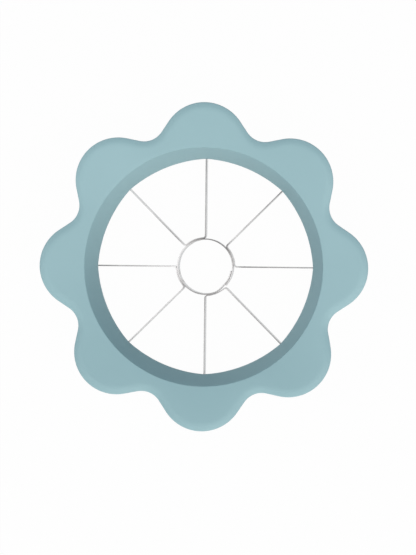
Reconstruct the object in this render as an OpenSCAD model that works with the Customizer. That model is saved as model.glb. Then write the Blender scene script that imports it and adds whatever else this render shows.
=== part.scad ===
// Apple slicer pressed down with both hands: a hollow flower-shaped body, a base cover
// screwed under it, and between them a cartridge of bent steel strips round a core ring.
// The part stands on its base at z = 0, centred on the z axis, with the hand face up.

/* [Body] */
// Width from petal tip to petal tip
overall_d = 143; // [137:1:160]
// Height of the petal tips above the base
body_h = 30; // [27:0.5:36]
// Radius of each round petal
petal_r = 19; // [17.5:0.5:20]
// Depth of the valleys between petals, measured from the tips
valley_depth = 11.7; // [10.5:0.1:12.5]
// Straight run of outline between a petal and a valley
flank_l = 5.5; // [2:0.5:7]
// Slope of the hand face, down towards the opening, in degrees
dish_a = 10; // [4:0.5:12]
// Plastic wall
wall_t = 2.4; // [1.8:0.1:2.8]
// Draft of the outer side, in degrees
side_draft = 0.5; // [0:0.25:1.5]
// Round along the bottom of the outer side
bottom_r = 1.2; // [0.6:0.1:1.4]

/* [Soft edge] */
// Width of the softened edge round the hand face
edge_w = 3.9; // [3.2:0.1:4.6]
// Slope of the softened edge, in degrees
edge_slope = 24; // [18:1:32]
// Radius where the hand face rolls into the soft edge
crest_r = 3.8; // [2:0.1:5]
// Radius where the soft edge rolls into the outer side
nose_r = 0.8; // [0.4:0.1:1.4]

/* [Funnel and opening] */
// Narrowest width of the hand face, at a valley
face_w = 7.9; // [6.8:0.1:9]
// Width of the funnel seen from above
funnel_w = 4.2; // [2.5:0.1:6]
// Break along the edge between the hand face and the funnel
rim_break = 0.3; // [0.1:0.1:0.6]
// Height of the opening's narrow edge above the base
lip_z = 14.5; // [12:0.5:18]
// Height of the short straight land at the narrow edge
lip_land = 0.5; // [0.3:0.1:1]
// How far the narrow edge is drawn in between the blades
side_bow = 0.6; // [0.1:0.1:0.8]
// How far the throat wall stands back from the narrow edge
throat_step = 0.4; // [0.2:0.1:0.8]
// How much further out the throat wall is at its foot
throat_flare = 1.6; // [0:0.1:2.4]

/* [Blades and core ring] */
// Thickness of the blade steel
steel_t = 0.5; // [0.4:0.1:0.7]
// Height of the cutting edges above the base
blade_z = 3; // [2.8:0.1:5]
// Height of the ground bevel on each cutting edge
grind_h = 2; // [1:0.1:3]
// Flat left on a ground edge
edge_flat = 0.1; // [0.05:0.01:0.2]
// Inside diameter of the core ring
core_d = 24; // [18:0.5:30]
// How far the core ring reaches below the blades
core_drop = 1.2; // [0:0.1:2]
// Inside radius of every bend in the strips
bend_r = 1; // [0.3:0.1:1.4]
// Length of the foot turned at each blade's outer end
foot_l = 4; // [2.5:0.5:5]
// Space that stays between the two ends of the core ring
ring_spring = 0.1; // [0:0.05:0.3]

/* [Base cover] */
// Thickness of the cover plate
cover_t = 2.2; // [1.6:0.1:2.4]
// Skirt of the body that surrounds the cover
skirt_t = 1.6; // [1.5:0.1:1.8]
// Height of a screw cup above the cover plate
cup_h = 2.2; // [1.6:0.1:3]
// Diameter of a screw cup and of the boss it meets
boss_d = 7.8; // [7.4:0.1:9]
// Ribs inside the body
rib_t = 1.6; // [1.2:0.1:2]

/* [Screws] */
// Diameter of a screw head
head_d = 5.4; // [4.8:0.1:5.6]
// Height of a screw head
head_h = 1.8; // [1.2:0.1:1.8]
// Diameter of a screw shank
shank_d = 2.4; // [2:0.1:2.8]
// Length of a screw under its head
screw_l = 12; // [8:0.5:16]

/* [Hidden] */

// Clearances and the overrun of every cut
slide_gap = 0.1;
cover_gap = 0.15;
weld_gap = 0.04;
bore_gap = 0.05;
hole_gap = 0.3;
overrun = 1;

// Counts of the pattern, and of steps along curves
petals = 8;
petal_steps = 18;
valley_steps = 7;
edge_steps = 3;
bend_steps = 5;
wrap_steps = 5;
ring_steps = 72;
round_fn = 64;
pitch = 360 / petals;

// Outline in plan: petal arcs, tangent flanks and valley arcs
tip_r = overall_d / 2;
valley_floor_r = tip_r - valley_depth;
petal_pos = tip_r - petal_r;
valley_lean = petal_pos * cos(pitch / 2);
valley_r = (petal_r ^ 2 + flank_l ^ 2 - petal_pos ^ 2 - valley_floor_r ^ 2
            + 2 * valley_lean * valley_floor_r) / (2 * (valley_floor_r - valley_lean - petal_r));
valley_pos = valley_floor_r + valley_r;
valley_x = valley_pos * cos(pitch / 2);
valley_y = valley_pos * sin(pitch / 2);
flank_a = atan2(valley_y, valley_x - petal_pos) - atan2(flank_l, petal_r + valley_r);

// Radii of the rim, the narrow edge and the throat wall under it
rim_r = valley_floor_r - face_w;
lip_corner_r = rim_r - funnel_w;
lip_side_r = lip_corner_r - side_bow;
bow_shift = (lip_corner_r ^ 2 - lip_side_r ^ 2)
            / (2 * (lip_side_r - lip_corner_r * cos(pitch / 2)));
bow_r = lip_side_r + bow_shift;
throat_r = lip_corner_r + throat_step;
throat_foot_r = throat_r + throat_flare;
back_r = throat_r + wall_t;
back_foot_r = throat_foot_r + wall_t;

// Heights of the hand face
draft_in = (body_h - bottom_r) * tan(side_draft);
crest_in = draft_in + edge_w;
crest_rise = crest_r * (1 / cos(dish_a) - 1);
rim_z = body_h - crest_rise - (tip_r - crest_in - rim_r) * tan(dish_a);
crest_drop = crest_r * (1 - cos(edge_slope));
bevel_in = draft_in + nose_r * (1 - sin(edge_slope));
bevel_drop = crest_drop + (crest_in - crest_r * sin(edge_slope) - bevel_in) * tan(edge_slope);

// Heights where the throat wall begins under the narrow edge and where it meets the cover
throat_z = lip_z - lip_land - throat_step;
seat_z = cover_t;

// Blades: the middle line of a strip wraps the core ring and ends in feet behind the throat
blade_top = throat_z - 2 * slide_gap;
core_r = core_d / 2;
wrap_r = core_r + steel_t + weld_gap + steel_t / 2;
turn_r = bend_r + steel_t / 2;
turn_a = asin(turn_r / (wrap_r + turn_r));
turn_x = (wrap_r + turn_r) * cos(turn_a);
foot_x = back_foot_r + turn_r + slide_gap / 2;

// The core ring runs once round, and its outer end laps over its inner end where no strip
// wraps it: the angles of the two ends, and the angle where the tucked inner end is back on
// the ring's circle
inner_end = -9;
outer_end = -42;
inner_seat = -85;

// Places inside the body
stop_x = foot_x + steel_t / 2 + slide_gap;
screw_pos = (stop_x + rib_t + tip_r - wall_t) / 2;
cup_z = cover_t + cup_h;
boss_z = cup_z + slide_gap;

function turn(p, a) = [p.x * cos(a) - p.y * sin(a), p.x * sin(a) + p.y * cos(a)];
function lift(points, z) = [for (p = points) [p.x, p.y, z]];
function reversed(list) = [for (i = [len(list) - 1 : -1 : 0]) list[i]];
function face_z(r) = rim_z + (r - rim_r) * tan(dish_a);

// One petal arc and the valley arc after it, all moved inward by inset
function petal_points(inset) = [
    for (i = [0 : petal_steps])
        let (a = flank_a * (2 * i / petal_steps - 1), r = petal_r - inset)
        [petal_pos + r * cos(a), r * sin(a)]
];
function valley_points(inset) = [
    for (i = [0 : valley_steps])
        let (a = 180 + pitch / 2 + (flank_a - pitch / 2) * (1 - 2 * i / valley_steps),
             r = valley_r + inset)
        [valley_x + r * cos(a), valley_y + r * sin(a)]
];
function outline(inset) = [
    for (k = [0 : petals - 1], p = concat(petal_points(inset), valley_points(inset)))
        turn(p, k * pitch)
];

// Rings of the body, one point for each point of the outline
function side_ring(inset, z) = lift(outline(inset), z);
function edge_ring(inset, drop) = [for (p = outline(inset)) [p.x, p.y, face_z(norm(p)) - drop]];
function round_ring(r, z) = [
    for (p = outline(crest_in)) let (a = atan2(p.y, p.x)) [r * cos(a), r * sin(a), z]
];
// The narrow edge is eight flat arcs that meet in soft corners at the blades
function lip_r(a) =
    let (b = (a + 360) % pitch - pitch / 2)
    sqrt(bow_r ^ 2 - (bow_shift * sin(b)) ^ 2) - bow_shift * cos(b);
function lip_ring(z) = [
    for (p = outline(crest_in)) let (a = atan2(p.y, p.x), r = lip_r(a)) [r * cos(a), r * sin(a), z]
];

// Skin through rings of equal length, closed round each ring and from the last to the first
module ring_loft(rings) {
    n = len(rings[0]);
    m = len(rings);
    polyhedron(
        points = [for (ring = rings, p = ring) p],
        faces = [
            for (j = [0 : m - 1], i = [0 : n - 1], half = [0, 1])
                let (a = j * n + i, b = j * n + (i + 1) % n,
                     c = (j + 1) % m * n + (i + 1) % n, d = (j + 1) % m * n + i)
                half == 0 ? [a, b, c] : [a, c, d]
        ]
    );
}

// Strip of steel on edge: left and right sides at each level, bottom level first
module strip_loft(lefts, rights, levels) {
    m = len(lefts[0]);
    n = 2 * m;
    top = (len(levels) - 1) * n;
    polyhedron(
        points = [
            for (j = [0 : len(levels) - 1], p = concat(lefts[j], reversed(rights[j])))
                [p.x, p.y, levels[j]]
        ],
        faces = concat(
            [for (j = [0 : len(levels) - 2], i = [0 : n - 1], half = [0, 1])
                let (a = j * n + i, b = j * n + (i + 1) % n, c = b + n, d = a + n)
                half == 0 ? [a, b, c] : [a, c, d]],
            [for (i = [0 : m - 2], half = [0, 1])
                let (a = i, b = i + 1, c = n - 2 - i, d = n - 1 - i)
                half == 0 ? [a, c, b] : [a, d, c]],
            [for (i = [0 : m - 2], half = [0, 1])
                let (a = top + i, b = top + i + 1, c = top + n - 2 - i, d = top + n - 1 - i)
                half == 0 ? [a, b, c] : [a, c, d]]
        )
    );
}

// The body before it is hollowed
module body_skin() {
    ring_loft(concat(
        [lip_ring(lip_z - lip_land), lip_ring(lip_z),
         round_ring(rim_r - rim_break, rim_z - rim_break),
         round_ring(rim_r + rim_break, face_z(rim_r + rim_break))],
        [edge_ring(crest_in, 0)],
        [for (i = [0 : edge_steps]) let (a = dish_a + (edge_slope - dish_a) * i / edge_steps)
            edge_ring(crest_in - crest_r * sin(a), crest_r * (1 - cos(a)))],
        [for (i = [0 : edge_steps]) let (a = edge_slope + (90 - edge_slope) * i / edge_steps)
            edge_ring(draft_in + nose_r * (1 - sin(a)),
                      bevel_drop + nose_r * (cos(edge_slope) - cos(a)))],
        [for (i = [0 : edge_steps]) let (a = 90 * i / edge_steps)
            side_ring(bottom_r * (1 - cos(a)), bottom_r * (1 - sin(a)))],
        [round_ring(throat_foot_r, 0), round_ring(throat_foot_r, seat_z),
         round_ring(throat_r, throat_z)]
    ));
}

// Slant of the hollow behind the funnel, and its roof under the hand face
function roof_z(r) = face_z(r) - wall_t;
function funnel_r(z) = lip_corner_r + funnel_w * (z - lip_z) / (rim_z - lip_z);
roof_corner_r = funnel_r(rim_z - wall_t) + wall_t;

// Radial ribs, screw bosses and blade stops that stand in the hollow
module rib(length) {
    translate([0, -rib_t / 2, boss_z]) cube([length, rib_t, body_h]);
}
module ribs_and_bosses() {
    for (k = [0 : petals - 1]) {
        rotate(pitch * (k + 1 / 2)) rib(tip_r);
        rotate(pitch * k) {
            translate([stop_x, 0, 0]) rib(tip_r - stop_x);
            translate([stop_x, -foot_l, boss_z]) cube([rib_t, 2 * foot_l, body_h]);
            translate([screw_pos, 0, boss_z]) cylinder(d = boss_d, h = body_h, $fn = round_fn);
        }
    }
}
module hollow() {
    difference() {
        intersection() {
            translate([0, 0, cover_t - overrun]) linear_extrude(body_h) polygon(outline(wall_t));
            rotate_extrude($fn = round_fn) polygon([
                [back_foot_r, 0], [tip_r, 0], [tip_r, roof_z(tip_r)],
                [roof_corner_r, roof_z(roof_corner_r)], [back_r, lip_z], [back_r, throat_z],
                [back_foot_r, seat_z]
            ]);
        }
        ribs_and_bosses();
    }
}

module top_shell() color("#9bbac3") difference() {
    body_skin();
    hollow();
    // Seat of the base cover
    translate([0, 0, -overrun]) linear_extrude(cover_t + overrun) polygon(outline(skirt_t));
    for (k = [0 : petals - 1]) rotate(pitch * k) {
        // Slot that a blade slides up into
        translate([lip_side_r - overrun, -steel_t / 2 - slide_gap, 0])
            cube([back_foot_r - lip_side_r + 2 * overrun, steel_t + 2 * slide_gap,
                  blade_top + slide_gap]);
        // Bore that the screw cuts its thread in
        translate([screw_pos, 0, 0])
            cylinder(d = shank_d + 2 * bore_gap, h = seat_z + screw_l + overrun, $fn = round_fn);
    }
}

module base_cover() color("#93b2bb") difference() {
    union() {
        linear_extrude(cover_t) difference() {
            polygon(outline(skirt_t + cover_gap));
            circle(throat_foot_r, $fn = round_fn);
        }
        for (k = [0 : petals - 1]) rotate(pitch * k) {
            translate([screw_pos, 0, 0]) cylinder(d = boss_d, h = cup_z, $fn = round_fn);
            // Pad under the foot of a blade
            translate([back_foot_r + slide_gap, -foot_l, 0])
                cube([stop_x + rib_t - back_foot_r - slide_gap, 2 * foot_l, blade_z - slide_gap]);
        }
    }
    for (k = [0 : petals - 1]) rotate(pitch * k) translate([screw_pos, 0, -overrun]) {
        cylinder(d = head_d + 2 * hole_gap, h = seat_z + overrun, $fn = round_fn);
        cylinder(d = shank_d + 2 * hole_gap, h = cup_z + 2 * overrun, $fn = round_fn);
    }
}

// Half thickness of a strip at each of its levels, from the cutting edge up
function strip_halves() = [edge_flat / 2, steel_t / 2, steel_t / 2];

// Core ring: from its tucked inner end once round to the outer end that laps over it
function ring_path_r(a) =
    let (back = min(max((a - outer_end) / (inner_seat - outer_end), 0), 1))
    core_r + steel_t / 2 - (steel_t + weld_gap + ring_spring) * (1 - back ^ 2 * (3 - 2 * back));
module core_ring() color("#b9bcbe") {
    sweep_a = outer_end - 360 - inner_end;
    path = [for (i = [0 : ring_steps]) inner_end + sweep_a * i / ring_steps];
    sides = [for (side = [-1, 1]) [for (half = strip_halves())
        [for (a = path) (ring_path_r(a) + side * half) * [cos(a), sin(a)]]]];
    low_z = blade_z - core_drop;
    strip_loft(sides[1], sides[0], [low_z, low_z + grind_h, blade_top]);
}

// Half of a strip, from its foot to the middle of its wrap, offset to one side of its middle
function half_strip(offset) = concat(
    [[foot_x - offset, -foot_l]],
    [for (i = [0 : bend_steps]) let (a = 90 * i / bend_steps)
        [foot_x - turn_r, -turn_r] + (turn_r - offset) * [cos(a), sin(a)]],
    [for (i = [0 : bend_steps]) let (a = 270 - (90 - turn_a) * i / bend_steps)
        [turn_x, turn_r] + (turn_r + offset) * [cos(a), sin(a)]],
    [for (i = [1 : wrap_steps]) let (a = turn_a + (pitch / 2 - turn_a) * i / wrap_steps)
        (wrap_r - offset) * [cos(a), sin(a)]]
);
function mirrored(p) = [p.x * cos(pitch) + p.y * sin(pitch), p.x * sin(pitch) - p.y * cos(pitch)];
function whole_strip(offset) =
    let (half = half_strip(offset), last = len(half) - 2)
    concat(half, [for (i = [last : -1 : 0]) mirrored(half[i])]);
module blade_pair(place) color("#c3c6c8") rotate(2 * pitch * (place - 1)) strip_loft(
    [for (half = strip_halves()) whole_strip(half)],
    [for (half = strip_halves()) whole_strip(-half)],
    [blade_z, blade_z + grind_h, blade_top]
);

// Pan-head screw, seen with its head down
module cover_screw() {
    difference() {
        rotate_extrude($fn = round_fn) polygon([
            [0, -head_h], [head_d / 3, -head_h], [head_d / 2, -head_h / 2], [head_d / 2, 0],
            [shank_d / 2, 0], [shank_d / 2, screw_l - shank_d / 2], [0, screw_l]
        ]);
        for (a = [0, 90]) rotate(a)
            translate([-head_d / 4, -head_d / 16, -head_h - overrun])
            cube([head_d / 2, head_d / 8, head_h / 2 + overrun]);
    }
}
module cover_screws() color("#a9abad") {
    for (k = [0 : petals - 1]) rotate(pitch * k)
        translate([screw_pos, 0, seat_z]) cover_screw();
}

top_shell();
base_cover();
core_ring();
blade_pair(1);  // blade_pair_1
blade_pair(2);  // blade_pair_2
blade_pair(3);  // blade_pair_3
blade_pair(4);  // blade_pair_4
cover_screws();
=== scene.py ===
import math

import bpy
import numpy as np
from mathutils import Matrix, Vector


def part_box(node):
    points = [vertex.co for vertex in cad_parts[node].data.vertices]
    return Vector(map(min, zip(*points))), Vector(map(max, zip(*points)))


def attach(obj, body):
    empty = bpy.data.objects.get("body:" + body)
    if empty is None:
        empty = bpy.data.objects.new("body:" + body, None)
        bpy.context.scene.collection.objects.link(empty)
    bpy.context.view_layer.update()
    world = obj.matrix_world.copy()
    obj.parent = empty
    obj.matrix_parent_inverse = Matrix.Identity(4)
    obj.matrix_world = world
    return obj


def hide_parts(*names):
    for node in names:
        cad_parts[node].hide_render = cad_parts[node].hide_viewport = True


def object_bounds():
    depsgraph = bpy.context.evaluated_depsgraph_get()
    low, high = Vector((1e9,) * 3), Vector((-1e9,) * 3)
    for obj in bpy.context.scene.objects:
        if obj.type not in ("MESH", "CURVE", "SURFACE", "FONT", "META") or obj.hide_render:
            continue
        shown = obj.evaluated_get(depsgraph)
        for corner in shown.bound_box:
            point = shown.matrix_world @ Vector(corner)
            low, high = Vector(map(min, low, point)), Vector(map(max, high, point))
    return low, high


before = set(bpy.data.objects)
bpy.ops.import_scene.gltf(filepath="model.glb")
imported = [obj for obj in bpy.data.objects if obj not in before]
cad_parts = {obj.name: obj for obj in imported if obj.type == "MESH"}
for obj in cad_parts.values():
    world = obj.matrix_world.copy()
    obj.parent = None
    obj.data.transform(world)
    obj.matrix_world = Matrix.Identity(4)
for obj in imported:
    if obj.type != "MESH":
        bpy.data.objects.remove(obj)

cad_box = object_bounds()
MM = 0.001

# Sizes that the frame gives, in metres
TIP_R = cad_box[1].x
BODY_H = cad_box[1].z
RING_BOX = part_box("core_ring")
STRIP_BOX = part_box("blade_pair_1")
BLADE_Z = STRIP_BOX[0].z
BLADE_TOP = STRIP_BOX[1].z
RING_Z = RING_BOX[0].z

# Plan of the body, as the construction has it
PETALS = 8
PITCH = math.tau / PETALS
PETAL_R = 19 * MM
VALLEY_DEPTH = 11.7 * MM
FLANK_L = 5.5 * MM
FACE_W = 7.9 * MM
FUNNEL_W = 4.2 * MM
SIDE_BOW = 0.6 * MM
THROAT_STEP = 0.4 * MM
THROAT_FLARE = 1.6 * MM
WALL_T = 2.4 * MM
SKIRT_T = 1.6 * MM
COVER_T = 2.2 * MM
LIP_Z = 14.5 * MM
LIP_LAND = 0.5 * MM
DISH = math.radians(10)
SIDE_DRAFT = math.radians(0.5)
BOTTOM_R = 1.2 * MM
EDGE_W = 3.9 * MM
EDGE_SLOPE = math.radians(26)
CREST_R = 5.9 * MM
NOSE_R = 0.8 * MM
RIM_R = 0.45 * MM

# Inside of the body, and the cover
RIB_T = 1.6 * MM
BOSS_R = 3.9 * MM
BOSS_STEPS = 40
CUP_H = 2.2 * MM
COVER_GAP = 0.15 * MM

# Screws
HEAD_R = 2.7 * MM
HEAD_H = 1.8 * MM
SHANK_R = 1.2 * MM
SCREW_L = 12 * MM
HOLE_GAP = 0.3 * MM
BORE_GAP = 0.05 * MM

# Steel
STEEL_T = 0.5 * MM
GRIND_H = 2 * MM
EDGE_FLAT = 0.1 * MM
CORE_R = 12 * MM
WELD_GAP = 0.04 * MM
BEND_R = 1 * MM
FOOT_L = 4 * MM
SLIDE_GAP = 0.1 * MM

# Places and radii that follow from the sizes
PETAL_POS = TIP_R - PETAL_R
FLOOR_R = TIP_R - VALLEY_DEPTH
LEAN = PETAL_POS * math.cos(PITCH / 2)
VALLEY_R = ((PETAL_R ** 2 + FLANK_L ** 2 - PETAL_POS ** 2 - FLOOR_R ** 2 + 2 * LEAN * FLOOR_R)
            / (2 * (FLOOR_R - LEAN - PETAL_R)))
VALLEY_POS = FLOOR_R + VALLEY_R
VALLEY_X = VALLEY_POS * math.cos(PITCH / 2)
VALLEY_Y = VALLEY_POS * math.sin(PITCH / 2)
FLANK_A = (math.atan2(VALLEY_Y, VALLEY_X - PETAL_POS)
           - math.atan2(FLANK_L, PETAL_R + VALLEY_R))
RIM = FLOOR_R - FACE_W
LIP_CORNER = RIM - FUNNEL_W
LIP_SIDE = LIP_CORNER - SIDE_BOW
BOW_SHIFT = ((LIP_CORNER ** 2 - LIP_SIDE ** 2)
             / (2 * (LIP_SIDE - LIP_CORNER * math.cos(PITCH / 2))))
BOW_R = LIP_SIDE + BOW_SHIFT
THROAT_R = LIP_CORNER + THROAT_STEP
THROAT_Z = LIP_Z - LIP_LAND - THROAT_STEP
THROAT_FOOT_R = THROAT_R + THROAT_FLARE
BACK_R = THROAT_R + WALL_T
BACK_FOOT_R = THROAT_FOOT_R + WALL_T
DRAFT_IN = (BODY_H - BOTTOM_R) * math.tan(SIDE_DRAFT)
CREST_IN = DRAFT_IN + EDGE_W
RIM_Z = (BODY_H - CREST_R * (1 / math.cos(DISH) - 1)
         - (TIP_R - CREST_IN - RIM) * math.tan(DISH))
SLOT_HALF = STEEL_T / 2 + SLIDE_GAP
SLOT_TOP = BLADE_TOP + SLIDE_GAP
TURN_R = BEND_R + STEEL_T / 2
FOOT_X = BACK_FOOT_R + TURN_R + SLIDE_GAP / 2
STOP_X = FOOT_X + STEEL_T / 2 + SLIDE_GAP
SCREW_POS = (STOP_X + RIB_T + TIP_R - WALL_T) / 2
CUP_Z = COVER_T + CUP_H
BOSS_Z = CUP_Z + SLIDE_GAP
ROOF_R = BACK_R + FUNNEL_W * (RIM_Z - WALL_T - LIP_Z) / (RIM_Z - LIP_Z)

# Camera
CAMERA_DISTANCE = 0.620
CAMERA_FOOT = (0.043, 0.009)
CAMERA_ROLL = math.radians(0.62)
OUTLINE_Z = BODY_H - 2.5 * MM
FRAME_PX = (416, 555)
CENTRE_PX = (202.9, 267.1)
TIPS_PX = 328.6


def make_camera():
    """Camera above CAMERA_FOOT that looks almost straight down, turned by CAMERA_ROLL. The petal
    tips span TIPS_PX of the picture and the object's centre lies at CENTRE_PX."""
    pixel = 2 * (TIP_R - DRAFT_IN) / TIPS_PX
    data = bpy.data.cameras.new("camera")
    data.sensor_width = 36
    data.lens = data.sensor_width * CAMERA_DISTANCE / (FRAME_PX[1] * pixel)
    data.clip_start, data.clip_end = 0.01, 20
    camera = bpy.data.objects.new("camera", data)
    bpy.context.scene.collection.objects.link(camera)
    across = Vector((math.cos(CAMERA_ROLL), math.sin(CAMERA_ROLL), 0))
    along = Vector((-math.sin(CAMERA_ROLL), math.cos(CAMERA_ROLL), 0))
    aim = ((FRAME_PX[0] / 2 - CENTRE_PX[0]) * pixel * across
           - (FRAME_PX[1] / 2 - CENTRE_PX[1]) * pixel * along + Vector((0, 0, OUTLINE_Z)))
    height = math.sqrt(CAMERA_DISTANCE ** 2 - CAMERA_FOOT[0] ** 2 - CAMERA_FOOT[1] ** 2)
    camera.location = (*CAMERA_FOOT, OUTLINE_Z + height)
    back = (camera.location - aim).normalized()
    right = along.cross(back).normalized()
    up = back.cross(right)
    camera.rotation_mode = "QUATERNION"
    camera.rotation_quaternion = Matrix((right, up, back)).transposed().to_quaternion()
    bpy.context.scene.camera = camera


make_camera()


# Meshes
SHARP_ANGLE = math.radians(35)


def add_mesh(name, points, faces):
    """New object at the origin from points and faces, smooth except at edges past SHARP_ANGLE."""
    mesh = bpy.data.meshes.new(name)
    mesh.from_pydata(points.tolist(), [], faces)
    mesh.validate()
    mesh.polygons.foreach_set("use_smooth", np.ones(len(mesh.polygons), bool))
    mesh.set_sharp_from_angle(angle=SHARP_ANGLE)
    mesh.update()
    piece = bpy.data.objects.new(name, mesh)
    bpy.context.scene.collection.objects.link(piece)
    return piece


def write_uv(piece, uv):
    """One UV for each point of the mesh, copied to the corners that use it. It holds a run along
    the brush lines and a distance across them, in metres."""
    mesh = piece.data
    corner_point = np.empty(len(mesh.loops), int)
    mesh.loops.foreach_get("vertex_index", corner_point)
    layer = mesh.uv_layers.new(name="lines")
    layer.data.foreach_set("uv", uv[corner_point].astype(np.float32).ravel())


def write_share(piece, name, share):
    """One number for each point of the mesh, which a material reads by its name."""
    padded = np.zeros(len(piece.data.vertices), np.float32)
    padded[:share.size] = share.ravel()
    piece.data.attributes.new(name, "FLOAT", "POINT").data.foreach_set("value", padded)


def grid_faces(rows, columns, wrap_rows=True):
    """Quads over a grid of points stored row after row, as an array of shape (rows, columns, 4).
    The columns close into a ring, and so do the rows if wrap_rows is set."""
    r = np.arange(rows if wrap_rows else rows - 1)[:, None]
    c = np.arange(columns)[None, :]
    r1, c1 = (r + 1) % rows, (c + 1) % columns
    return np.stack(np.broadcast_arrays(r * columns + c, r * columns + c1,
                                        r1 * columns + c1, r1 * columns + c), axis=-1)


def rod_faces(levels, around):
    """Faces of a closed rod whose points are stored level after level: its sides and both ends."""
    sides = grid_faces(levels, around, wrap_rows=False).reshape(-1, 4).tolist()
    last = (levels - 1) * around
    return sides + [list(range(around))[::-1], list(range(last, last + around))]


def rays(a):
    """Unit vectors at an array of angles."""
    return np.stack([np.cos(a), np.sin(a)], axis=-1)


def turned(xy, angle):
    """Points turned about the z axis."""
    c, s = math.cos(angle), math.sin(angle)
    return np.stack([c * xy[..., 0] - s * xy[..., 1], s * xy[..., 0] + c * xy[..., 1]], axis=-1)


# Columns of the body: where a petal's arc and a valley's arc are sampled
PETAL_HALF_STEPS = 22
VALLEY_STEPS = 16


def petal_columns():
    """Angles on a petal arc, even from the flank to the slot's edge on each side of its axis."""
    slot_slope = math.tan(math.asin(SLOT_HALF / BACK_FOOT_R))
    slot_a = slot_slope * (TIP_R - CREST_IN) / (PETAL_R - CREST_IN)
    half = np.linspace(slot_a, FLANK_A, PETAL_HALF_STEPS)
    return np.concatenate([-half[::-1], half])


def petal_arc(inset, a):
    """Round end of the first petal, moved inward by inset, at angles about its own centre."""
    return (PETAL_POS, 0) + (PETAL_R - inset) * rays(a)


def valley_arc(inset, share):
    """Round valley after the first petal, moved inward by inset, from share 1 at this petal to -1
    at the next."""
    b = math.pi + PITCH / 2 + (FLANK_A - PITCH / 2) * share
    return (VALLEY_X, VALLEY_Y) + (VALLEY_R + inset) * rays(b)


def outline(inset):
    """Body outline moved inward by inset: round petals, straight flanks and round valleys, all
    tangent."""
    one = np.concatenate([petal_arc(inset, petal_columns()),
                          valley_arc(inset, np.linspace(1, -1, VALLEY_STEPS))])
    return np.concatenate([turned(one, k * PITCH) for k in range(PETALS)])


COLUMNS = len(outline(0.0))
PER_PETAL = COLUMNS // PETALS
CREST = outline(CREST_IN)
BEARING = np.arctan2(CREST[:, 1], CREST[:, 0])


def face_z(r):
    """Height of the dished hand face at radius r: a shallow cone that falls towards the opening."""
    return RIM_Z + (r - RIM) * math.tan(DISH)


def roof_z(r):
    """Height of the underside of the hand face."""
    return face_z(r) - WALL_T


def side_row(inset, z):
    """Level row that follows the outline, moved inward by inset."""
    return np.column_stack([outline(inset), np.full(COLUMNS, z)])


def edge_row(inset, drop):
    """Row that follows the outline, moved inward by inset, at a drop below the dished face."""
    xy = outline(inset)
    return np.column_stack([xy, face_z(np.hypot(xy[:, 0], xy[:, 1])) - drop])


def round_row(r, z):
    """Level row at a radius, or at one radius for each column."""
    return np.column_stack([r * np.cos(BEARING), r * np.sin(BEARING), np.full(COLUMNS, z)])


def lip_radius(a):
    """Radius of the narrow edge: eight flat arcs that meet in soft corners at the blades."""
    b = np.mod(a, PITCH) - PITCH / 2
    return np.sqrt(BOW_R ** 2 - (BOW_SHIFT * np.sin(b)) ** 2) - BOW_SHIFT * np.cos(b)


def funnel_row(share, z, out=0.0):
    """Level row between the narrow edge at share 0 and the round rim at share 1, moved outward."""
    return round_row((1 - share) * lip_radius(BEARING) + share * RIM + out, z)


def corner(before, at, after, radius, steps):
    """Points of a round corner of that radius between two straight runs of a profile."""
    before, at, after = (np.array(p, float) for p in (before, at, after))
    u = (before - at) / np.linalg.norm(before - at)
    v = (after - at) / np.linalg.norm(after - at)
    half = math.acos(float(np.clip(u @ v, -1, 1))) / 2
    middle = at + (u + v) / np.linalg.norm(u + v) * radius / math.sin(half)
    start = at + u * radius / math.tan(half) - middle
    end = at + v * radius / math.tan(half) - middle
    a0 = math.atan2(start[1], start[0])
    sweep = (math.atan2(end[1], end[0]) - a0 + math.pi) % math.tau - math.pi
    return middle + radius * rays(a0 + sweep * np.linspace(0, 1, steps + 1))


def throat_r(z):
    """Radius of the throat wall at a height: it flares out evenly towards its foot."""
    return THROAT_R + THROAT_FLARE * (THROAT_Z - z) / (THROAT_Z - COVER_T)


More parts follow.
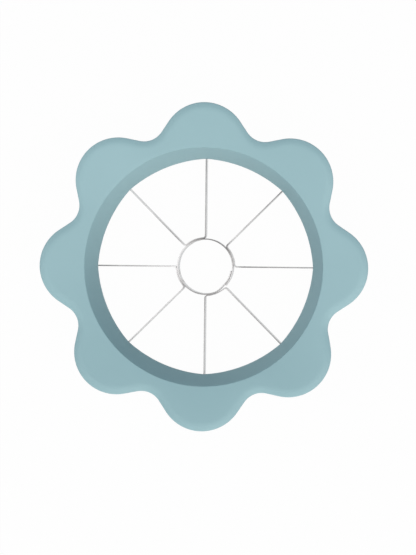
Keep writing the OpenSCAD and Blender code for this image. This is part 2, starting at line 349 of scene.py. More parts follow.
def body_rows():
    """Rows of the hollow body, from the foot of the throat wall over the top and back up inside,
    and the places in that list of the slots' top in front of the wall and behind it."""
    foot = COVER_T + 0.2 * MM
    rows = [round_row(throat_r(COVER_T), COVER_T), round_row(throat_r(foot), foot)]
    slot_row = len(rows)
    rows += [round_row(throat_r(SLOT_TOP), SLOT_TOP), round_row(THROAT_R, THROAT_Z)]
    # Narrow edge, softened above and below its land
    under = LIP_Z - LIP_LAND
    rows += [funnel_row(0, under, 0.04 * MM), funnel_row(0, under + 0.06 * MM),
             funnel_row(0, LIP_Z - 0.1 * MM), funnel_row(0.008, LIP_Z + 0.08 * MM)]
    # Funnel wall up to the rim
    rim_arc = corner((LIP_CORNER, LIP_Z), (RIM, RIM_Z), (TIP_R, face_z(TIP_R)), RIM_R, 6)
    for t in np.linspace(0.08, 0.94, 8):
        rows.append(funnel_row(t, LIP_Z + t * (RIM_Z - LIP_Z)))
    rows += [round_row(r, z) for r, z in rim_arc]
    # Hand face up to the crest of the soft edge
    rows += [edge_row(CREST_IN + before, 0) for before in (2.2 * MM, 0.9 * MM, 0.3 * MM)]
    # Crest, straight slope and nose of the soft edge
    for a in np.linspace(0, EDGE_SLOPE, 9):
        rows.append(edge_row(CREST_IN - CREST_R * math.sin(a), CREST_R * (1 - math.cos(a))))
    crest_end = CREST_IN - CREST_R * math.sin(EDGE_SLOPE)
    crest_drop = CREST_R * (1 - math.cos(EDGE_SLOPE))
    nose_in = DRAFT_IN + NOSE_R * (1 - math.sin(EDGE_SLOPE))
    nose_drop = crest_drop + (crest_end - nose_in) * math.tan(EDGE_SLOPE)
    for t in (0.3, 0.7):
        rows.append(edge_row(crest_end + t * (nose_in - crest_end),
                             crest_drop + t * (nose_drop - crest_drop)))
    for a in np.linspace(EDGE_SLOPE, math.pi / 2, 8):
        rows.append(edge_row(DRAFT_IN + NOSE_R * (1 - math.sin(a)),
                             nose_drop + NOSE_R * (math.cos(EDGE_SLOPE) - math.cos(a))))
    # Outer side with its draft, and the round bottom edge
    high, low = rows[-1], side_row(0, BOTTOM_R)
    rows += [high + t * (low - high) for t in (0.06, 0.35, 0.65, 0.94)]
    for a in np.linspace(0, math.pi / 2, 7):
        rows.append(side_row(BOTTOM_R * (1 - math.cos(a)), BOTTOM_R * (1 - math.sin(a))))
    # Skirt, ledge for the cover, hollow and the back of the throat wall
    rows += [side_row(SKIRT_T - 0.1 * MM, 0), side_row(SKIRT_T, 0.1 * MM),
             side_row(SKIRT_T, COVER_T), side_row(WALL_T, COVER_T),
             side_row(WALL_T, COVER_T + 0.3 * MM),
             edge_row(WALL_T, WALL_T + 0.6 * MM), edge_row(WALL_T + 0.5 * MM, WALL_T),
             round_row(ROOF_R + 0.2 * MM, roof_z(ROOF_R)),
             round_row(ROOF_R, roof_z(ROOF_R) - 0.3 * MM),
             round_row(BACK_R, LIP_Z), round_row(BACK_R, THROAT_Z)]
    back_slot_row = len(rows)
    rows += [round_row(throat_r(SLOT_TOP) + WALL_T, SLOT_TOP), round_row(BACK_FOOT_R, COVER_T)]
    return np.array(rows), slot_row, back_slot_row


def plate(profile, y0, y1):
    """Flat plate: a profile of radius and height, thick from y0 to y1. Returns points and faces."""
    r, z = np.array(profile).T
    n = len(r)
    points = np.concatenate([np.column_stack([r, np.full(n, y), z]) for y in (y0, y1)])
    around = [[n + i, n + (i + 1) % n, (i + 1) % n, i] for i in range(n)]
    return points, [list(range(n)), list(range(n, 2 * n))[::-1]] + around


def tube(profile, centre, steps):
    """Profile of radius and height turned about an upright axis at centre on the x axis, with flat
    ends. Returns points and faces."""
    r, z = np.array(profile).T[..., None, None]
    xy = r * rays(math.tau * np.arange(steps) / steps) + (centre, 0)
    points = np.concatenate([xy, np.broadcast_to(z, (len(z), steps, 1))], axis=-1)
    return points.reshape(-1, 3), rod_faces(len(z), steps)


def joined(shells):
    """Shells of points and faces as one list of points and one of faces."""
    points, faces, first = [], [], 0
    for p, f in shells:
        points.append(p)
        faces += [[i + first for i in face] for face in f]
        first += len(p)
    return np.concatenate(points), faces


def spun(shell, angle):
    """Points and faces turned about the z axis."""
    points, faces = shell
    return np.column_stack([turned(points[:, :2], angle), points[:, 2]]), faces


def inner_shells():
    """Ribs, screw boss and blade stop of one petal, each sunk a little into the walls it joins."""
    sunk = 0.5 * MM
    half = RIB_T / 2
    low = BOSS_Z
    roof = lambda r: roof_z(r) + sunk
    boss_in, boss_out = SCREW_POS - BOSS_R, SCREW_POS + BOSS_R
    petal_rib = plate([(STOP_X + half, low), (boss_in + sunk, low), (boss_in + sunk, roof(boss_in)),
                       (STOP_X + half, roof(STOP_X))], -half, half)
    tip_in, tip_out = boss_out - sunk, TIP_R - WALL_T + sunk
    tip_rib = plate([(tip_in, low), (tip_out, low), (tip_out, BODY_H / 2), (tip_in, BODY_H / 2)],
                    -half, half)
    stop_out = STOP_X + RIB_T
    stop = plate([(STOP_X, low), (stop_out, low), (stop_out, roof(stop_out)),
                  (STOP_X, roof(STOP_X))], -FOOT_L, FOOT_L)
    bore, top = SHANK_R + BORE_GAP, COVER_T + SCREW_L + 1 * MM
    boss = tube([(bore, top), (bore, low), (BOSS_R, low), (BOSS_R, roof(boss_in))],
                SCREW_POS, BOSS_STEPS)
    valley_out = FLOOR_R - WALL_T + sunk
    valley_rib = plate([(throat_r(low) + WALL_T - sunk, low), (valley_out, low),
                        (valley_out, roof(valley_out)), (ROOF_R - sunk, roof(ROOF_R)),
                        (BACK_R - sunk, LIP_Z), (BACK_R - sunk, THROAT_Z)], -half, half)
    return [petal_rib, tip_rib, stop, boss, spun(valley_rib, PITCH / 2)]


def rubbed_share(rows):
    """How much handling rubs each row: the curvature of the profile where it is convex, which is 1
    at a radius of 1 mm."""
    profile = np.stack([np.hypot(rows[..., 0], rows[..., 1]), rows[..., 2]], axis=-1)
    step = np.roll(profile, -1, axis=0) - profile
    length = np.maximum(np.linalg.norm(step, axis=-1), 1e-9)
    before, size = np.roll(step, 1, axis=0), np.roll(length, 1, axis=0)
    turn = (before[..., 1] * step[..., 0] - before[..., 0] * step[..., 1]) / (length * size)
    return np.clip(turn * 2 * MM / (length + size), 0, 1)


def make_body():
    """Hollow flower body: rows round a closed profile, and a slot for each blade through the throat
    wall.

    A slot lies between the two columns at a petal's axis, from the slot's top row down under the
    wall to the same height on its back. Its quads go, and its two cheeks and its top are added."""
    rows, top, back = body_rows()
    count = len(rows)
    path = np.array([*range(back, count), *range(top + 1)])
    keep = np.ones((count, COLUMNS), bool)
    faces = []
    for k in range(PETALS):
        c0 = k * PER_PETAL + PETAL_HALF_STEPS - 1
        c1 = c0 + 1
        keep[path[:-1], c0] = False
        faces += [(path * COLUMNS + c0).tolist(), (path[::-1] * COLUMNS + c1).tolist(),
                  [row * COLUMNS + c for row, c in ((top, c0), (top, c1), (back, c1), (back, c0))]]
    faces += grid_faces(count, COLUMNS)[keep][:, ::-1].tolist()
    inner = [spun(shell, k * PITCH) for k in range(PETALS) for shell in inner_shells()]
    piece = add_mesh("flower_body", *joined([(rows.reshape(-1, 3), faces), *inner]))
    write_share(piece, "rubbed", rubbed_share(rows))
    return piece


body = make_body()
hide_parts("top_shell")
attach(body, "root")


# Base cover
COVER_BREAK = 0.08 * MM
COVER_SOFT = 0.25 * MM
WELD_WITHIN = 0.001 * MM


def cover_edge(inset):
    """Edge of the cover in one petal's sector, counter-clockwise: the outline, then the inner edge
    clockwise back. The runs between the two lie on the sector's borders, and turn into inner seams
    of the cover. Returns the edge, and the counts of points on half the outline and on a border."""
    gap = SKIRT_T + COVER_GAP + inset
    valley = valley_arc(gap, np.linspace(1, 0, 10))[1:]
    half = np.concatenate([petal_arc(gap, np.linspace(0, FLANK_A, 20)), valley])
    inner = (THROAT_FOOT_R + inset) * rays(PITCH / 2 * np.linspace(1, -1, 25))
    border = half[-1] + np.linspace(0, 1, 5)[1:-1, None] * (inner[0] - half[-1])
    flip = np.array([1, -1])
    edge = np.concatenate([(half * flip)[:0:-1], half, border, inner, (border * flip)[::-1]])
    return edge, len(half), len(border)


def cover_rows(edge):
    """Rows of one sector of the cover, from its edge over its underside to the screw hole, up
    through the hole and the cup, and over its upper side back to the edge."""
    centre = np.array([SCREW_POS, 0])
    seen = edge - centre
    way = seen / np.linalg.norm(seen, axis=1)[:, None]
    flat = lambda xy, z: np.column_stack([xy, np.full(len(xy), z)])
    circle = lambda r, z: flat(centre + r * way, z)
    between = lambda row, other, t: row + t * (other - row)
    hole, shank = HEAD_R + HOLE_GAP, SHANK_R + HOLE_GAP
    under, rim = flat(cover_edge(COVER_SOFT)[0], 0), circle(hole + 0.2 * MM, 0)
    top, foot = flat(edge, COVER_T), circle(BOSS_R, COVER_T)
    return [flat(edge, COVER_T * 0.6), flat(edge, COVER_SOFT),
            flat(cover_edge(COVER_BREAK)[0], COVER_BREAK), under,
            between(under, rim, 0.1), between(under, rim, 0.5), between(under, rim, 0.9), rim,
            circle(hole + 0.06 * MM, 0.06 * MM), circle(hole, 0.2 * MM),
            circle(hole, COVER_T - 0.05 * MM), circle(hole - 0.05 * MM, COVER_T),
            circle(shank, COVER_T), circle(shank, CUP_Z - 0.1 * MM),
            circle(shank + 0.1 * MM, CUP_Z), circle(BOSS_R - 0.2 * MM, CUP_Z),
            circle(BOSS_R, CUP_Z - 0.2 * MM), foot, between(foot, top, 0.5), top]


def make_cover():
    """Cover: eight sectors, welded along their borders, and a pad under each blade's foot."""
    edge, half, border = cover_edge(0)
    rows = cover_rows(edge)
    columns = len(edge)
    first, last = 2 * half - 2, columns - border - 1
    seam = np.zeros(columns, bool)
    seam[first:first + border + 1] = True
    seam[last:] = True
    kept = np.ones((len(rows), columns), bool)
    kept[np.ix_([0, 1, 2, len(rows) - 1], seam)] = False
    quads = grid_faces(len(rows), columns)[kept][:, ::-1]
    sector = (np.concatenate(rows), quads)
    points = np.concatenate([spun(sector, k * PITCH)[0] for k in range(PETALS)])
    faces = np.concatenate([quads + k * len(sector[0]) for k in range(PETALS)])
    points = points[faces.ravel()]
    _, keep, place = np.unique(np.round(points / WELD_WITHIN).astype(int), axis=0,
                               return_index=True, return_inverse=True)
    welded = (points[keep], place.reshape(faces.shape).tolist())
    pad_in, pad_out, pad_top = BACK_FOOT_R + SLIDE_GAP, STOP_X + RIB_T, BLADE_Z - SLIDE_GAP
    pad = plate([(pad_in, COVER_T / 2), (pad_out, COVER_T / 2), (pad_out, pad_top),
                 (pad_in, pad_top)], -FOOT_L, FOOT_L)
    pads = [spun(pad, k * PITCH) for k in range(PETALS)]
    return add_mesh("cover_plate", *joined([welded, *pads]))


# Screws
HEAD_STEPS = 96
DOME_H = 0.95 * MM
DOME_SHARE = 0.9
RECESS_D = 0.55 * HEAD_H
RECESS_SLOPE = 0.22 * MM
SHANK_STEPS, SHANK_LEVELS = 20, 110
THREAD_PITCH = 1.1 * MM
THREAD_D = 0.2
THREAD_START = 0.8 * MM
TAPER_L = 1.6 * MM
DRIVEN_TURN = 0.9


def recess_depth(x, y):
    """Cross recess: full depth inside two crossed bars, and walls that slope up out of them."""
    x, y = np.abs(x), np.abs(y)
    long, wide = HEAD_R / 2, HEAD_R / 8
    out = np.minimum(np.maximum(x - long, y - wide), np.maximum(y - long, x - wide))
    return RECESS_D * np.clip((0.1 * MM - out) / RECESS_SLOPE, 0, 1)


def screw_shells():
    """One screw, head down: a domed pan head with a cross recess, and a shank whose helical thread
    is cut to THREAD_D of its radius."""
    r = HEAD_R * np.concatenate([np.linspace(0.03, 0.62, 26), np.linspace(0.66, 0.98, 8)])
    rise = (1 - np.sqrt(1 - DOME_SHARE * (r / HEAD_R) ** 2)) / (1 - math.sqrt(1 - DOME_SHARE))
    profile = [*zip(r, DOME_H * rise - HEAD_H), (HEAD_R, -HEAD_H / 2 + 0.1 * MM),
               (HEAD_R, -0.12 * MM), (HEAD_R - 0.1 * MM, 0)]
    points, faces = tube(np.array(profile) + (0, COVER_T), 0, HEAD_STEPS)
    in_dome = np.arange(len(points)) < len(r) * HEAD_STEPS
    points[:, 2] += in_dome * recess_depth(points[:, 0], points[:, 1])
    z = np.linspace(-0.4 * MM, SCREW_L, SHANK_LEVELS)
    a = math.tau * np.arange(SHANK_STEPS) / SHANK_STEPS
    wave = np.abs(np.mod(z[:, None] / THREAD_PITCH - a / math.tau, 1) * 2 - 1)
    taper = np.clip((SCREW_L - z) / TAPER_L, 0.05, 1)[:, None]
    grip = np.clip((z - THREAD_START) / THREAD_START, 0, 1)[:, None]
    radius = SHANK_R * taper * (1 - THREAD_D * grip * np.clip(1.6 - 2.4 * wave, 0, 1))
    height = np.broadcast_to(z[:, None] + COVER_T, radius.shape)
    shank = np.stack([radius * np.cos(a), radius * np.sin(a), height], axis=-1)
    return [(points, faces), (shank.reshape(-1, 3), rod_faces(SHANK_LEVELS, SHANK_STEPS))]


def make_screws():
    """The eight screws, each turned by another angle, as driven by hand. UVs run round each screw's
    axis, and out and up from it."""
    one = screw_shells()
    shells = []
    for k in range(PETALS):
        for shell in one:
            points, faces = spun(shell, DRIVEN_TURN * k * k)
            shells.append(spun((points + (SCREW_POS, 0, 0), faces), k * PITCH))
    piece = add_mesh("pan_head_screws", *joined(shells))
    x, y, z = np.concatenate([points for points, _ in one]).T
    uv = np.stack([np.abs(np.arctan2(y, x)) * HEAD_R, np.hypot(x, y) + z], axis=-1)
    write_uv(piece, np.tile(uv, (PETALS, 1)))
    return piece


cover = make_cover()
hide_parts("base_cover")
screws = make_screws()
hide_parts("cover_screws")
for piece in (cover, screws):
    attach(piece, "root")


# Steel strips
BEND_STEPS = 10
STRAIGHT_STEPS = 14
WRAP_STEPS = 20
RING_STEPS = 320
WRAP_R = CORE_R + STEEL_T * 1.5 + WELD_GAP
TURN_A = math.asin(TURN_R / (WRAP_R + TURN_R))
TURN_X = (WRAP_R + TURN_R) * math.cos(TURN_A)
RING_SPRING = 0.1 * MM
INNER_END = math.radians(-9)
OUTER_END = math.radians(-42)
INNER_SEAT = math.radians(-72)
BURR = 0.06 * MM
HEIGHT_STEPS = 34
WELD_R = 1.2 * MM
WELD_SIDE = 2.1 * MM
WELD_LEVELS = (6.6 * MM, 11 * MM)
WELD_DENT = 0.07 * MM


def section(low):
    """Section of a strip on edge: sideways offset and height, round the ground edge and the broken
    top corners."""
    half = STEEL_T / 2
    heights = np.linspace(low + GRIND_H + BURR, BLADE_TOP - BURR, HEIGHT_STEPS)
    right = [(EDGE_FLAT / 2, low), (half, low + GRIND_H), *[(half, z) for z in heights],
             (half - BURR, BLADE_TOP)]
    return np.array(right + [(-h, z) for h, z in right[::-1]])


def weld_marks(run, z):
    """Strength of the spot-weld marks at a run from the middle of a wrap and a height: 1 at a
    mark's centre, falling smoothly to 0 at WELD_R. Two marks side by side, at two heights."""
    distances = [np.hypot(run - x, z - level) / WELD_R
                 for x in (-WELD_SIDE, WELD_SIDE) for level in WELD_LEVELS]
    return sum(np.clip(1 - d ** 2, 0, 1) ** 2 for d in distances)


def painted_sheen(xy):
    """Painted sheen of the sheared top: how brightly its burr catches the light at a place, painted
    into its colour as a share that follows from the place's bearing b in degrees and its distance d
    in mm to the middle.

    Blades: 0.49 + 0.13 cos(b - 194) + 0.05 cos 2(b - 50) - 0.08 cos 4b
    + (d - 30) / 11 (0.11 cos 2(b + 52) + 0.18 cos 3(b - 5)).
    Ring and wraps: 0.52 + 0.14 cos(b - 194) + 0.33 cos 2(b - 164).
    Between a d of 13.5 and 15.5 one fades smoothly into the other."""
    b = np.arctan2(xy[..., 1], xy[..., 0])
    d = np.hypot(xy[..., 0], xy[..., 1]) / MM
    wave = lambda amount, times, bearing: amount * np.cos(times * (b - math.radians(bearing)))
    along = (d - 30) / 11 * (wave(0.11, 2, -52) + wave(0.18, 3, 5))
    blade = 0.49 + wave(0.13, 1, 194) + wave(0.05, 2, 50) - wave(0.08, 4, 0) + along
    band = 0.52 + wave(0.14, 1, 194) + wave(0.33, 2, 164)
    near = np.clip((15.5 - d) / 2, 0, 1)
    return blade + (band - blade) * near * near * (3 - 2 * near)


def sweep(name, middle, normal, run, low, weld_run):
    """Section carried along a path: each point moves sideways along the path's normal, and less
    where a weld mark dents the side that shows. UVs are run and height."""
    side, height = section(low).T
    marks = weld_marks(weld_run[:, None], height) * (side < 0)
    offset = side + WELD_DENT * marks
    xy = middle[:, None, :] + normal[:, None, :] * offset[..., None]
    z = np.broadcast_to(height, offset.shape)
    points = np.concatenate([xy, z[..., None]], axis=-1)
    piece = add_mesh(name, points.reshape(-1, 3), rod_faces(*offset.shape))
    write_uv(piece, np.stack([np.repeat(run, len(height)), (z - low).ravel()], axis=-1))
    write_share(piece, "weld_heat", np.clip(marks, 0, 1))
    # Painted sheen of the sheared top, which the steel material reads
    write_share(piece, "painted_sheen", np.clip(painted_sheen(xy), 0, 1))
    return piece


def half_strip():
    """Middle line and left normal of a strip from its foot to the middle of its wrap: a bend, the
    straight blade, a bend and an arc."""
    foot_turn = rays(np.linspace(0, math.pi / 2, BEND_STEPS))
    straight = np.linspace(FOOT_X - TURN_R, TURN_X, STRAIGHT_STEPS)[1:-1, None] * [[1.0, 0.0]]
    ring_turn = rays(np.linspace(1.5 * math.pi, math.pi + TURN_A, BEND_STEPS))
    wrap = rays(np.linspace(TURN_A, PITCH / 2, WRAP_STEPS)[1:])
    middle = np.concatenate([[[FOOT_X, -FOOT_L]],
                             (FOOT_X - TURN_R, -TURN_R) + TURN_R * foot_turn,
                             straight,
                             (TURN_X, TURN_R) + TURN_R * ring_turn,
                             WRAP_R * wrap])
    normal = np.concatenate([[[-1.0, 0.0]], -foot_turn, np.tile([0.0, -1.0], (len(straight), 1)),
                             ring_turn, -wrap])
    return middle, normal


def mirrored(xy):
    """Points mirrored in the line at half a pitch, which swaps a strip's two blades."""
    c, s = math.cos(PITCH), math.sin(PITCH)
    return np.column_stack([xy[:, 0] * c + xy[:, 1] * s, xy[:, 0] * s - xy[:, 1] * c])


def make_strip(place):
    """Strip that is two blades and the wrap between them, turned to its place round the ring."""
    middle, normal = (np.concatenate([part, mirrored(part)[-2::-1]]) for part in half_strip())
    run = np.concatenate([[0], np.cumsum(np.hypot(*np.diff(middle, axis=0).T))])
    run -= run[-1] / 2
    angle = 2 * PITCH * (place - 1)
    return sweep(f"blade_strip_{place}", turned(middle, angle), turned(normal, angle), run,
                 BLADE_Z, run)


def make_ring():
    """Core ring: from a tucked inner end, clockwise once round on its own radius, to the outer end
    that laps over the inner one."""
    a = np.linspace(INNER_END, OUTER_END - math.tau, RING_STEPS)
    back = np.clip((a - OUTER_END) / (INNER_SEAT - OUTER_END), 0, 1)
    tuck = STEEL_T + WELD_GAP + RING_SPRING
    r = CORE_R + STEEL_T / 2 - tuck * (1 - back * back * (3 - 2 * back))
    out = rays(a)
    from_wrap = np.mod(a - PITCH / 2 + PITCH, 2 * PITCH) - PITCH
    return sweep("core_ring_band", out * r[:, None], out, (a - PITCH / 2) * CORE_R, RING_Z,
                 from_wrap * CORE_R)


strips = [make_strip(place) for place in range(1, PETALS // 2 + 1)]
for place, strip in enumerate(strips, 1):
    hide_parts(f"blade_pair_{place}")
ring = make_ring()
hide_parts("core_ring")
for piece in [*strips, ring]:
    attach(piece, "root")


# Materials
# Body tones: a random drift between them that also paints part of the body's light and shade
BODY_LIGHT = (160, 195, 202)
BODY_DARK = (150, 185, 192)
COVER_LIGHT = (156, 186, 194)
COVER_DARK = (151, 181, 190)
STEEL_LIGHT = (0.61, 0.62, 0.629, 1)
STEEL_DARK = (0.49, 0.5, 0.508, 1)
# Sheared top: the dark and light ends of its painted sheen
SHEARED_LIGHT = (0.562, 0.578, 0.597, 1)
SHEARED_DARK = (0.117, 0.12, 0.125, 1)
ZINC_LIGHT = (0.56, 0.56, 0.57, 1)
ZINC_DARK = (0.42, 0.42, 0.43, 1)
WELD_CENTRE = (0.5, 0.49, 0.48, 1)
WELD_TINTS = {0.06: (0.93, 0.84, 0.66, 1), 0.2: (0.75, 0.62, 0.5, 1), 0.4: (0.62, 0.64, 0.7, 1)}
MOULD_RELIEF = 0.03 * MM
BRUSH_RELIEF = 0.01 * MM
PLASTIC_SPECULAR = 0.18
SHEARED_ROUGHNESS = 0.55


def new_group(name, inputs, outputs):
    """Shader node group with named float, vector or colour sockets."""
    kinds = {"value": "NodeSocketFloat", "vector": "NodeSocketVector", "color": "NodeSocketColor"}
    group = bpy.data.node_groups.new(name, "ShaderNodeTree")
    for label, kind, default in inputs:
        socket = group.interface.new_socket(label, in_out="INPUT", socket_type=kinds[kind])
        if default is not None:
            socket.default_value = default
    for label, kind in outputs:
        group.interface.new_socket(label, in_out="OUTPUT", socket_type=kinds[kind])
    return (group, group.nodes.new("NodeGroupInput").outputs,
            group.nodes.new("NodeGroupOutput").inputs)


def node(tree, kind, inputs=None, **settings):
    """New node with its settings, and inputs given as values or as sockets to link."""
    made = tree.nodes.new(kind)
    for key, value in settings.items():
        setattr(made, key, value)
    for key, value in (inputs or {}).items():
        if isinstance(value, bpy.types.NodeSocket):
            tree.links.new(value, made.inputs[key])
        else:
            made.inputs[key].default_value = value
    return made


def place_group(tree, group, inputs):
    """Outputs of the group in a material, with its inputs given as values or sockets."""
    return node(tree, "ShaderNodeGroup", inputs, node_tree=group).outputs


def calc(tree, operation, *values):
    """Result of a math operation on values or sockets."""
    return node(tree, "ShaderNodeMath", dict(enumerate(values)), operation=operation).outputs[0]


def mix(tree, share, low, high):
    """Number between low and high, by a share."""
    return node(tree, "ShaderNodeMix", {0: share, 2: low, 3: high}).outputs[0]


def blend(tree, share, dark, light, way="MIX"):
    """Colour between two colours, by a share."""
    return node(tree, "ShaderNodeMix", {0: share, 6: dark, 7: light}, data_type="RGBA",
                blend_type=way).outputs[2]


def spread(tree, value, low=0.0, high=1.0):
    """The middle part of a noise's range, 0.3 to 0.7, spread from low to high."""
    return node(tree, "ShaderNodeMapRange", {0: value, 1: 0.3, 2: 0.7, 3: low, 4: high}).outputs[0]


def noise(tree, where, scale, detail, **inputs):
    """Noise at a place."""
    given = {"Vector": where, "Scale": scale, "Detail": detail, **inputs}
    return node(tree, "ShaderNodeTexNoise", given).outputs[0]


def bump(tree, height, distance, strength):
    """Normal that a relief gives."""
    given = {"Height": height, "Distance": distance, "Strength": strength}
    return node(tree, "ShaderNodeBump", given).outputs[0]


def object_place(tree):
    """Place on the object, in metres."""
    return node(tree, "ShaderNodeTexCoord").outputs["Object"]


def attribute(tree, name):
    """Number that a mesh holds under a name."""
    return node(tree, "ShaderNodeAttribute", attribute_name=name).outputs["Fac"]


def make_mould_grain():
    """Fine spark-eroded grain: a dense noise with a coarser one under it."""
    group, given, put = new_group("mould_grain",
                                  [("Vector", "vector", None), ("Grain", "value", 2600)],
                                  [("Height", "value"), ("Tone", "value")])
    fine = noise(group, given["Vector"], given["Grain"], 2.0, Roughness=0.55)
    coarse = noise(group, given["Vector"], calc(group, "MULTIPLY", given["Grain"], 0.22), 1.0)
    group.links.new(calc(group, "MULTIPLY_ADD", coarse, 0.5, fine), put["Height"])
    group.links.new(coarse, put["Tone"])
    return group


def make_tone_drift_and_shade():
    """Slow drift between two tones, as in thick moulded plastic. Its phase is set so that on the
    body its lighter and darker patches also paint part of the slow light and shade.
    """
    group, given, put = new_group("tone_drift_and_shade",
                                  [("Vector", "vector", None), ("Light", "color", None),
                                   ("Dark", "color", None), ("Size", "value", 12),
                                   ("Phase", "value", 300.81)], [("Color", "color")])
    # The phase sets where the patches fall; on the body they also stand for painted light and shade
    drift = node(group, "ShaderNodeTexNoise", {"Vector": given["Vector"], "W": given["Phase"],
                                               "Scale": given["Size"], "Detail": 3.0,
                                               "Roughness": 0.45}, noise_dimensions="4D")
    tone = blend(group, spread(group, drift.outputs[0]), given["Dark"], given["Light"])
    group.links.new(tone, put["Color"])
    return group


def make_brushed():
    """Brush lines: noise stretched along the first UV and fine across the second, and broader
    streaks."""
    group, given, put = new_group("brushed",
                                  [("Vector", "vector", None), ("Fine", "value", 9000)],
                                  [("Height", "value"), ("Tone", "value")])
    size = node(group, "ShaderNodeCombineXYZ", {0: 60.0, 1: given["Fine"], 2: 1.0})
    stretched = node(group, "ShaderNodeVectorMath", {0: given["Vector"], 1: size.outputs[0]},
                     operation="MULTIPLY")
    streaks = node(group, "ShaderNodeMapping", {"Vector": given["Vector"], "Scale": (25, 1400, 1)})
    lines = noise(group, stretched.outputs[0], 1.0, 3.0, Roughness=0.6)
    group.links.new(lines, put["Height"])
    group.links.new(noise(group, streaks.outputs[0], 1.0, 2.0), put["Tone"])
    return group


mould_grain, tone_drift_and_shade, brushed = make_mould_grain(), make_tone_drift_and_shade(), make_brushed()


def new_material(name):
    """New material, its node tree and its shader."""
    material = bpy.data.materials.new(name)
    material.use_nodes = True
    tree = material.node_tree
    return material, tree, tree.nodes["Principled BSDF"]


def finish_look(tree, shader, color, roughness, normal):
    """Links a material's colour, roughness and normal to its shader."""
    for key, socket in (("Base Color", color), ("Roughness", roughness), ("Normal", normal)):
        tree.links.new(socket, shader.inputs[key])


def srgb(r, g, b):
    """Linear colour of an 8-bit screen colour."""
    c = np.array([r, g, b]) / 255
    return (*np.where(c <= 0.04045, c / 12.92, ((c + 0.055) / 1.055) ** 2.4), 1.0)


def plastic(name, light, dark, grain, roughness):
    """Matte moulded plastic: slow tone drift, which on the body also paints part of the light and
    shade, and grain in the gloss and in the relief, both rubbed down on edges."""
    material, tree, shader = new_material(name)
    where = object_place(tree)
    rubbed = attribute(tree, "rubbed")
    # Tone drift: random, and on the body also painted light and shade
    tone = place_group(tree, tone_drift_and_shade, {"Vector": where, "Light": srgb(*light),
                                          "Dark": srgb(*dark)})
    relief = place_group(tree, mould_grain, {"Vector": where, "Grain": grain})
    gloss = spread(tree, relief["Tone"], roughness - 0.04, roughness + 0.04)
    smoother = calc(tree, "MULTIPLY_ADD", rubbed, -0.1, gloss)
    left = node(tree, "ShaderNodeMapRange", {0: rubbed, 3: 1.0, 4: 0.3}).outputs[0]
    height = calc(tree, "MULTIPLY", relief["Height"], left)
    finish_look(tree, shader, tone["Color"], smoother, bump(tree, height, MOULD_RELIEF, 0.5))
    shader.inputs["Specular IOR Level"].default_value = PLASTIC_SPECULAR
    return material


def steel(name, light, dark, roughness):
    """Brushed steel, with a bevel ground across the cutting edge, a dull sheared top with a painted
    sheen in its colour, and weld marks."""
    material, tree, shader = new_material(name)
    where = node(tree, "ShaderNodeUVMap", uv_map="lines").outputs[0]
    run, height, _ = node(tree, "ShaderNodeSeparateXYZ", {0: where}).outputs
    crossed = node(tree, "ShaderNodeCombineXYZ", {0: height, 1: run}).outputs[0]
    # Brush lines along the strip, and across it on the ground bevel
    along = place_group(tree, brushed, {"Vector": where, "Fine": 9000})
    across = place_group(tree, brushed, {"Vector": crossed, "Fine": 14000})
    ground = calc(tree, "LESS_THAN", height, GRIND_H)
    relief = mix(tree, ground, along["Height"], across["Height"])
    streak = mix(tree, ground, along["Tone"], across["Tone"])
    tone = blend(tree, streak, dark, light)
    # Sheared top, where the surface faces up. Its colour runs from dark to light by a painted sheen
    # that follows how the light falls on it, with a random mottle on top
    facing = node(tree, "ShaderNodeNewGeometry").outputs["Normal"]
    sheared = spread(tree, node(tree, "ShaderNodeSeparateXYZ", {0: facing}).outputs[2])
    mottle = noise(tree, object_place(tree), 150.0, 2.0)
    sheen_and_mottle = calc(tree, "SUBTRACT",
                  calc(tree, "MULTIPLY_ADD", mottle, 0.5, attribute(tree, "painted_sheen")), 0.25)
    topped = blend(tree, sheared, tone, blend(tree, sheen_and_mottle, SHEARED_DARK, SHEARED_LIGHT))
    # Weld marks, tinted by the heat
    heat = attribute(tree, "weld_heat")
    tint = node(tree, "ShaderNodeValToRGB", {0: heat})
    ramp = tint.color_ramp.elements
    ramp[0].color, ramp[1].color = (1, 1, 1, 1), WELD_CENTRE
    for place, color in WELD_TINTS.items():
        ramp.new(place).color = color
    welded = blend(tree, 1.0, topped, tint.outputs[0], "MULTIPLY")
    gloss = spread(tree, streak, roughness - 0.05, roughness + 0.06)
    dull = calc(tree, "MULTIPLY_ADD", heat, 0.15, gloss)
    finish_look(tree, shader, welded, mix(tree, sheared, dull, SHEARED_ROUGHNESS),
                bump(tree, relief, BRUSH_RELIEF, 0.35))
    shader.inputs["Metallic"].default_value = 1.0
    return material


def plated(name, light, dark, roughness):
    """Zinc-plated steel, with turned lines round each screw's axis."""
    material, tree, shader = new_material(name)
    where = node(tree, "ShaderNodeUVMap", uv_map="lines").outputs[0]
    turning = place_group(tree, brushed, {"Vector": where, "Fine": 12000})
    cloud = place_group(tree, mould_grain, {"Vector": object_place(tree), "Grain": 4000})
    finish_look(tree, shader, blend(tree, cloud["Tone"], dark, light),
                spread(tree, turning["Tone"], roughness - 0.06, roughness + 0.06),
                bump(tree, turning["Height"], BRUSH_RELIEF, 0.4))
    shader.inputs["Metallic"].default_value = 1.0
    return material


body_plastic = plastic("body_plastic", BODY_LIGHT, BODY_DARK, grain=2600, roughness=0.5)
cover_plastic = plastic("cover_plastic", COVER_LIGHT, COVER_DARK, grain=1900, roughness=0.46)
blade_steel = steel("blade_steel", STEEL_LIGHT, STEEL_DARK, roughness=0.3)
screw_steel = plated("screw_steel", ZINC_LIGHT, ZINC_DARK, roughness=0.32)


def dress(piece, material):
    """The material as the piece's only one."""
    piece.data.materials.clear()
    piece.data.materials.append(material)


dress(body, body_plastic)
for piece in [*strips, ring]:
    dress(piece, blade_steel)
dress(cover, cover_plastic)
dress(screws, screw_steel)


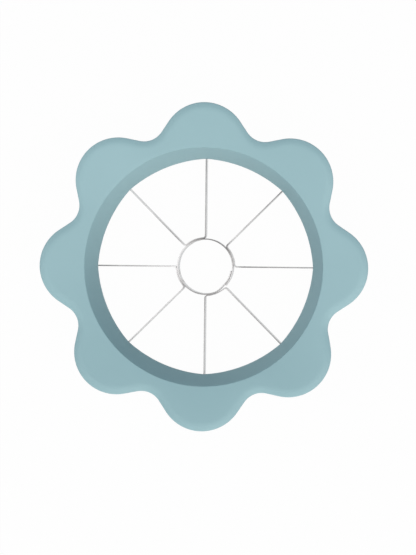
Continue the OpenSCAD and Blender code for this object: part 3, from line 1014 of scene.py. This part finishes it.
# Floor, light and world
WHITE = (1, 1, 1, 1)
FLOOR_HALF = 2.5
FLOOR_LIGHT = (0.61, 0.61, 0.61, 1)
FLOOR_DARK = (0.59, 0.59, 0.59, 1)
FLOOR_OWN_LIGHT = 0.98
AMBIENT = (0.16, 0.24, 0.30, 1)
WARM = (1.0, 0.885, 0.808)
LAMP_DISTANCE = 1.5
LAMP_SIZE = 1.1


def seen_share(tree):
    """1 for what the camera and reflections see, 0 for the light that falls on surfaces."""
    seen = node(tree, "ShaderNodeLightPath").outputs
    return calc(tree, "MAXIMUM", seen["Is Camera Ray"], seen["Is Glossy Ray"])


def make_floor():
    """Pale floor that looks white to the camera and in reflections, with the object's soft shadow
    on it."""
    material, tree, shader = new_material("pale_floor")
    tone = place_group(tree, tone_drift_and_shade, {"Vector": object_place(tree), "Light": FLOOR_LIGHT,
                                          "Dark": FLOOR_DARK, "Size": 4})
    tree.links.new(tone["Color"], shader.inputs["Base Color"])
    shader.inputs["Roughness"].default_value = 0.9
    shader.inputs["Specular IOR Level"].default_value = 0.1
    share = calc(tree, "MULTIPLY", seen_share(tree), FLOOR_OWN_LIGHT)
    white = node(tree, "ShaderNodeEmission", {"Color": WHITE, "Strength": 1.0}).outputs[0]
    mixed = node(tree, "ShaderNodeMixShader", {0: share, 1: shader.outputs[0], 2: white})
    tree.links.new(mixed.outputs[0], tree.nodes["Material Output"].inputs["Surface"])
    corners = FLOOR_HALF * np.array([(-1, -1, 0), (1, -1, 0), (1, 1, 0), (-1, 1, 0)])
    floor = add_mesh("floor", corners, [[0, 1, 2, 3]])
    dress(floor, material)


def make_world():
    """White to the camera and in reflections, and an even, dim and cool light for the rest."""
    world = bpy.data.worlds.new("studio")
    world.use_nodes = True
    tree = world.node_tree
    tone = blend(tree, seen_share(tree), AMBIENT, WHITE)
    tree.links.new(tone, tree.nodes["Background"].inputs["Color"])
    bpy.context.scene.world = world


# Each lamp: bearing and elevation it shines from in degrees, and its power
LAMPS = {
    "key": (-40, 60, 11.9),
    "front": (-75, 15, 9.7),
    "left": (180, 60, 6.3),
    "back": (140, 35, 3.15),
}


def make_lamp(name, bearing, elevation, power):
    """Square, slightly warm lamp that looks at the middle of the object."""
    data = bpy.data.lights.new(name, "AREA")
    data.size = LAMP_SIZE
    data.energy = power
    data.color = WARM
    lamp = bpy.data.objects.new(name, data)
    b, e = math.radians(bearing), math.radians(elevation)
    way = Vector((math.cos(b) * math.cos(e), math.sin(b) * math.cos(e), math.sin(e)))
    lamp.location = way * LAMP_DISTANCE + Vector((0, 0, BODY_H / 2))
    lamp.rotation_mode = "QUATERNION"
    lamp.rotation_quaternion = (-way).to_track_quat("-Z", "Y")
    bpy.context.scene.collection.objects.link(lamp)


make_floor()
make_world()
for name, setting in LAMPS.items():
    make_lamp(name, *setting)
bpy.context.scene.view_settings.view_transform = "Standard"
